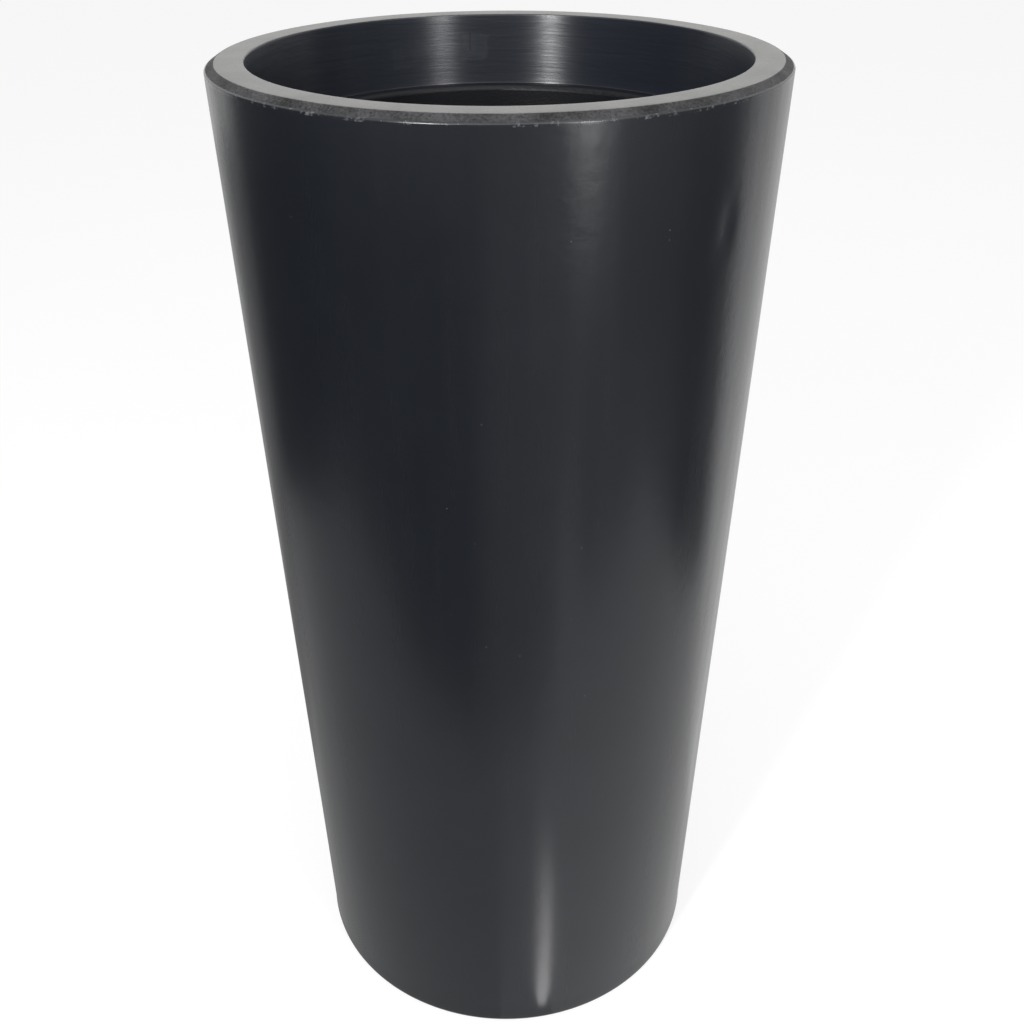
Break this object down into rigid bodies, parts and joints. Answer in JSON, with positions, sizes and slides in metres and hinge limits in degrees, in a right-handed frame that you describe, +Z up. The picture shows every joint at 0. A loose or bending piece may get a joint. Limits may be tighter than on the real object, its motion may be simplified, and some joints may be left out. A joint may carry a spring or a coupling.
{
  "type": "planter",
  "caption": "Tall round tapered plastic planter with a thick folded rim, a lift-out inner liner on a ledge below the mouth and a rubber drain bung in its raised base.",
  "frame": {"origin": "centre of the base, on the floor that the planter stands on", "axes": "+Z up along the planter's axis of symmetry; X runs through the liner's two finger slots"},
  "size_m": [0.3999, 0.4, 0.8],
  "materials": {
    "shell_plastic": "satin rotationally moulded polyethylene, blue-black",
    "liner_plastic": "dull black polypropylene",
    "bung_rubber": "matt black moulded rubber"
  },
  "bodies": {
    "shell": {"planter_shell": "shell_plastic"},
    "liner": {"inner_liner": "liner_plastic"},
    "bung": {"drain_bung": "bung_rubber"}
  },
  "joints": [
    {"name": "liner_lift", "type": "slide", "parent": "shell", "child": "liner", "axis": [0, 0, 1], "range_m": [0, 0.45]},
    {"name": "bung_pull", "type": "slide", "parent": "shell", "child": "bung", "axis": [0, 0, -1], "range_m": [0, 0.03]}
  ]
}
